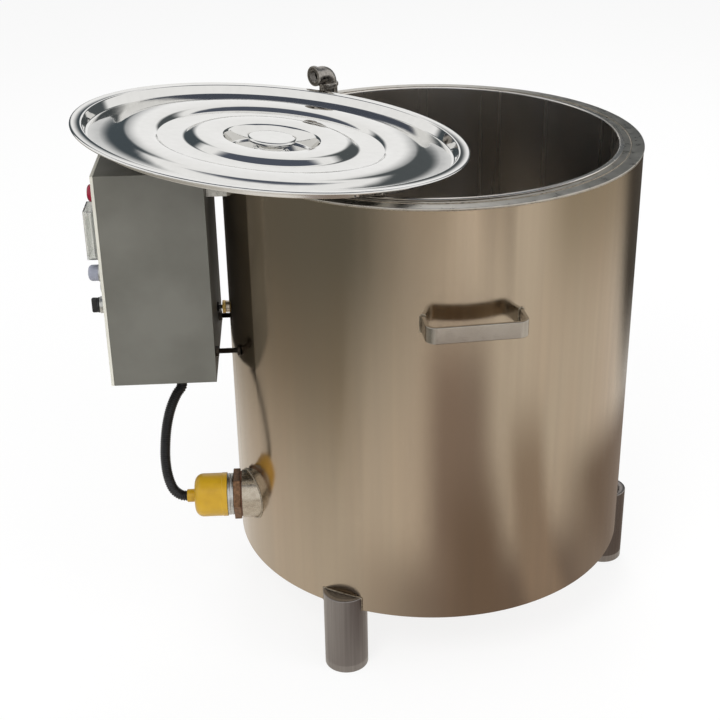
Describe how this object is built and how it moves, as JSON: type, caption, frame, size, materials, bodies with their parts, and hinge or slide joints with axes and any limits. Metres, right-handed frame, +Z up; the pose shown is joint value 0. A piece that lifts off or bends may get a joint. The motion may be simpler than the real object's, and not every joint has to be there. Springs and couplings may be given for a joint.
{
  "type": "candle making machine",
  "caption": "Round double-walled wax melting tank on three legs with an immersion heater, a control box with a hinged door, a filler elbow, two handles and a loose ringed lid.",
  "frame": {"origin": "on the floor under the middle of the whole machine's box", "axes": "+Z up, +X from the control box towards the tank, +Y away from the front handle"},
  "size_m": [0.8192, 0.6786, 0.7835],
  "materials": {
    "tank_steel": "cold-rolled stainless sheet, faintly warm, half-matt with long vertical rolling streaks",
    "pot_steel": "cold-rolled stainless sheet of the inner pot, darker and browner than the shell",
    "lid_steel": "mirror-polished stainless sheet",
    "pipe_steel": "dark drawn stainless pipe",
    "fitting_steel": "stainless fittings and flat bar, satin",
    "zinc_steel": "zinc-plated steel",
    "browned_steel": "dark browned steel",
    "brass": "turned brass",
    "box_paint": "grey powder coat, fine texture",
    "door_paint": "light grey powder coat",
    "black_plastic": "moulded black plastic",
    "grey_plastic": "moulded grey plastic",
    "yellow_plastic": "moulded yellow plastic",
    "white_plastic": "moulded off-white plastic",
    "red_lens": "translucent red moulding",
    "clear_plastic": "clear moulded plastic",
    "black_rubber": "black rubber",
    "fibre": "pressed red fibre washer"
  },
  "bodies": {
    "tank": {"outer_shell": "tank_steel", "jacket_floor": "tank_steel", "rim_ring": "tank_steel", "inner_pot": "pot_steel", "leg_front": "pipe_steel", "leg_right": "pipe_steel", "leg_rear": "pipe_steel", "handle_front": "fitting_steel", "handle_rear": "fitting_steel", "heater_socket": "fitting_steel", "heater_gasket": "fibre", "heater_plug": "browned_steel", "heater_collar": "zinc_steel", "heater_element": "fitting_steel", "heater_cap": "yellow_plastic", "fill_nipple": "fitting_steel", "fill_elbow": "fitting_steel", "probe_boss": "fitting_steel", "temperature_probe": "brass", "probe_cable": "black_plastic", "probe_grommet": "black_rubber", "mount_stud_near": "browned_steel", "mount_stud_far": "browned_steel", "stud_nut_near_outer": "browned_steel", "stud_nut_near_inner": "browned_steel", "stud_nut_far_outer": "browned_steel", "stud_nut_far_inner": "browned_steel", "hanger_bracket": "zinc_steel", "box_body": "box_paint", "hinge_lower_body_leaf": "zinc_steel", "hinge_upper_body_leaf": "zinc_steel", "mounting_plate": "zinc_steel", "din_rail": "zinc_steel", "contactor": "black_plastic", "breaker": "white_plastic", "terminal_block": "black_plastic", "conduit_gland": "black_plastic", "mains_gland": "black_plastic", "conduit_hose": "black_plastic"},
    "lid": {"lid_shell": "lid_steel", "lid_knob": "lid_steel", "lid_knob_screw": "zinc_steel"},
    "door": {"box_door": "door_paint", "door_gasket": "black_rubber", "hinge_lower_door_leaf": "zinc_steel", "hinge_upper_door_leaf": "zinc_steel", "door_lock_body": "zinc_steel", "pilot_lamp_body": "zinc_steel", "pilot_lens": "red_lens", "push_button_body": "zinc_steel", "selector_body": "zinc_steel", "controller_body": "black_plastic"},
    "lock_cam": {"door_lock_cam": "zinc_steel"},
    "push_button": {"push_button_cap": "grey_plastic"},
    "selector": {"selector_knob": "black_plastic"},
    "cover": {"controller_cover": "clear_plastic"},
    "key_1": {"controller_key_1": "grey_plastic"},
    "key_2": {"controller_key_2": "grey_plastic"},
    "key_3": {"controller_key_3": "grey_plastic"},
    "toggle": {"breaker_toggle": "black_plastic"}
  },
  "joints": [
    {"name": "lid_lift", "type": "slide", "parent": "tank", "child": "lid", "axis": [0, 0, 1], "range_m": [0, 0.3]},
    {"name": "door_swing", "type": "hinge", "parent": "tank", "child": "door", "pos_m": [-0.37963, 0.1165, 0.5575], "axis": [0, 0, -1], "range_deg": [0, 110]},
    {"name": "lock_turn", "type": "hinge", "parent": "door", "child": "lock_cam", "pos_m": [-0.38063, -0.091, 0.55], "axis": [1, 0, 0], "range_deg": [0, 90]},
    {"name": "button_push", "type": "slide", "parent": "door", "child": "push_button", "axis": [1, 0, 0], "range_m": [0, 0.0045], "stiffness_N_per_m": 500},
    {"name": "selector_turn", "type": "hinge", "parent": "door", "child": "selector", "pos_m": [-0.39563, -0.055, 0.504], "axis": [1, 0, 0], "range_deg": [-45, 45]},
    {"name": "cover_swing", "type": "hinge", "parent": "door", "child": "cover", "pos_m": [-0.38713, -0.0302, 0.618], "axis": [0, 0, -1], "range_deg": [0, 100]},
    {"name": "key_1_press", "type": "slide", "parent": "door", "child": "key_1", "axis": [1, 0, 0], "range_m": [0, 0.0008], "stiffness_N_per_m": 400},
    {"name": "key_2_press", "type": "slide", "parent": "door", "child": "key_2", "axis": [1, 0, 0], "range_m": [0, 0.0008], "stiffness_N_per_m": 400},
    {"name": "key_3_press", "type": "slide", "parent": "door", "child": "key_3", "axis": [1, 0, 0], "range_m": [0, 0.0008], "stiffness_N_per_m": 400},
    {"name": "toggle_throw", "type": "hinge", "parent": "tank", "child": "toggle", "pos_m": [-0.31623, 0.049, 0.565], "axis": [0, 1, 0], "range_deg": [-70, 0]}
  ]
}
